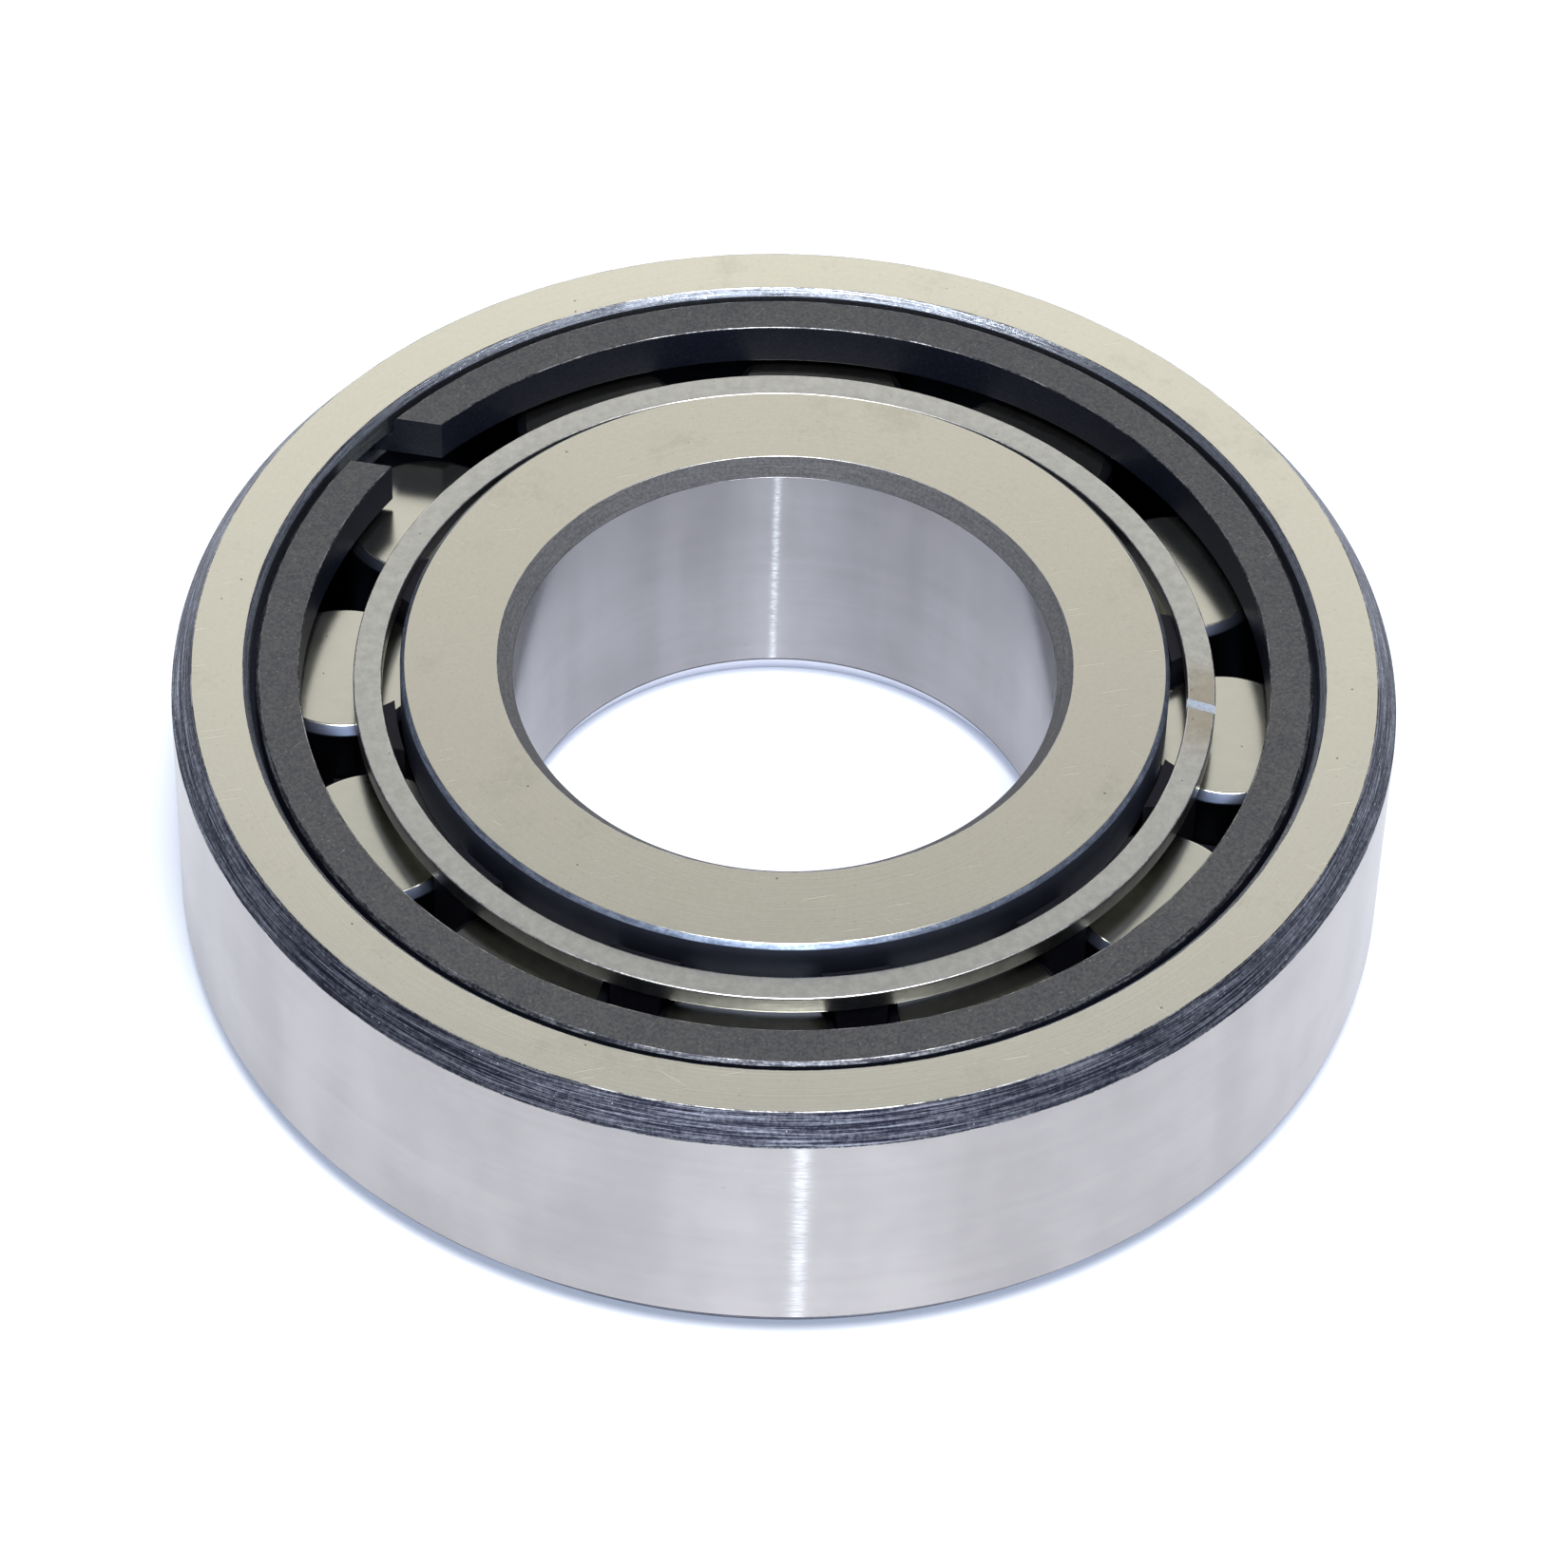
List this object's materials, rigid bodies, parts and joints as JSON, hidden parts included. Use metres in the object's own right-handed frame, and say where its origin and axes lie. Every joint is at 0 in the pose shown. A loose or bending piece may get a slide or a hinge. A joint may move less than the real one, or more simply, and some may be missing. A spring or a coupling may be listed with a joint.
{
  "type": "cylindrical roller bearing",
  "caption": "Cylindrical roller bearing: flanged inner ring, outer ring with black split snap rings, and rollers in a retainer modelled as segments.",
  "frame": {"origin": "centre of the bearing, halfway through its width on the bore's axis", "axes": "+Z along the bore's axis, out of the face whose split side ring has its gap near +X"},
  "size_m": [0.09, 0.09, 0.023],
  "materials": {
    "outer_ring_steel": "ground bearing steel",
    "inner_ring_steel": "ground bearing steel",
    "roller_steel": "lapped bearing steel",
    "side_ring_steel": "bright spring steel",
    "black_oxide": "black oxide spring steel",
    "segment_steel": "blackened steel"
  },
  "bodies": {
    "outer": {"outer_ring": "outer_ring_steel", "snap_ring_top": "black_oxide", "snap_ring_bottom": "black_oxide"},
    "inner": {"inner_ring": "inner_ring_steel"},
    "retainer": {"segment_01": "segment_steel", "segment_02": "segment_steel", "segment_03": "segment_steel", "segment_04": "segment_steel", "segment_05": "segment_steel", "segment_06": "segment_steel", "segment_07": "segment_steel", "segment_08": "segment_steel", "segment_09": "segment_steel", "segment_10": "segment_steel", "segment_11": "segment_steel", "segment_12": "segment_steel", "side_ring_top": "side_ring_steel", "side_ring_bottom": "side_ring_steel"},
    "roller_01": {"roller_01": "roller_steel"},
    "roller_02": {"roller_02": "roller_steel"},
    "roller_03": {"roller_03": "roller_steel"},
    "roller_04": {"roller_04": "roller_steel"},
    "roller_05": {"roller_05": "roller_steel"},
    "roller_06": {"roller_06": "roller_steel"},
    "roller_07": {"roller_07": "roller_steel"},
    "roller_08": {"roller_08": "roller_steel"},
    "roller_09": {"roller_09": "roller_steel"},
    "roller_10": {"roller_10": "roller_steel"},
    "roller_11": {"roller_11": "roller_steel"},
    "roller_12": {"roller_12": "roller_steel"}
  },
  "joints": [
    {"name": "inner_spin", "type": "hinge", "parent": "outer", "child": "inner", "pos_m": [0, 0, 0], "axis": [0, 0, 1], "continuous": true},
    {"name": "retainer_spin", "type": "hinge", "parent": "outer", "child": "retainer", "pos_m": [0, 0, 0], "axis": [0, 0, 1], "continuous": true},
    {"name": "roller_01_spin", "type": "hinge", "parent": "retainer", "child": "roller_01", "pos_m": [0.02929, 0.0146, 0], "axis": [0, 0, 1], "continuous": true},
    {"name": "roller_02_spin", "type": "hinge", "parent": "retainer", "child": "roller_02", "pos_m": [0.01806, 0.02729, 0], "axis": [0, 0, 1], "continuous": true},
    {"name": "roller_03_spin", "type": "hinge", "parent": "retainer", "child": "roller_03", "pos_m": [0.002, 0.03267, 0], "axis": [0, 0, 1], "continuous": true},
    {"name": "roller_04_spin", "type": "hinge", "parent": "retainer", "child": "roller_04", "pos_m": [-0.0146, 0.02929, 0], "axis": [0, 0, 1], "continuous": true},
    {"name": "roller_05_spin", "type": "hinge", "parent": "retainer", "child": "roller_05", "pos_m": [-0.02729, 0.01806, 0], "axis": [0, 0, 1], "continuous": true},
    {"name": "roller_06_spin", "type": "hinge", "parent": "retainer", "child": "roller_06", "pos_m": [-0.03267, 0.002, 0], "axis": [0, 0, 1], "continuous": true},
    {"name": "roller_07_spin", "type": "hinge", "parent": "retainer", "child": "roller_07", "pos_m": [-0.02929, -0.0146, 0], "axis": [0, 0, 1], "continuous": true},
    {"name": "roller_08_spin", "type": "hinge", "parent": "retainer", "child": "roller_08", "pos_m": [-0.01806, -0.02729, 0], "axis": [0, 0, 1], "continuous": true},
    {"name": "roller_09_spin", "type": "hinge", "parent": "retainer", "child": "roller_09", "pos_m": [-0.002, -0.03267, 0], "axis": [0, 0, 1], "continuous": true},
    {"name": "roller_10_spin", "type": "hinge", "parent": "retainer", "child": "roller_10", "pos_m": [0.0146, -0.02929, 0], "axis": [0, 0, 1], "continuous": true},
    {"name": "roller_11_spin", "type": "hinge", "parent": "retainer", "child": "roller_11", "pos_m": [0.02729, -0.01806, 0], "axis": [0, 0, 1], "continuous": true},
    {"name": "roller_12_spin", "type": "hinge", "parent": "retainer", "child": "roller_12", "pos_m": [0.03267, -0.002, 0], "axis": [0, 0, 1], "continuous": true}
  ],
  "couplings": [
    {"joint": "retainer_spin", "follows": "inner_spin", "ratio": 0.40024},
    {"joint": "roller_01_spin", "follows": "inner_spin", "ratio": -2.4175},
    {"joint": "roller_02_spin", "follows": "inner_spin", "ratio": -2.4175},
    {"joint": "roller_03_spin", "follows": "inner_spin", "ratio": -2.4175},
    {"joint": "roller_04_spin", "follows": "inner_spin", "ratio": -2.4175},
    {"joint": "roller_05_spin", "follows": "inner_spin", "ratio": -2.4175},
    {"joint": "roller_06_spin", "follows": "inner_spin", "ratio": -2.4175},
    {"joint": "roller_07_spin", "follows": "inner_spin", "ratio": -2.4175},
    {"joint": "roller_08_spin", "follows": "inner_spin", "ratio": -2.4175},
    {"joint": "roller_09_spin", "follows": "inner_spin", "ratio": -2.4175},
    {"joint": "roller_10_spin", "follows": "inner_spin", "ratio": -2.4175},
    {"joint": "roller_11_spin", "follows": "inner_spin", "ratio": -2.4175},
    {"joint": "roller_12_spin", "follows": "inner_spin", "ratio": -2.4175}
  ]
}
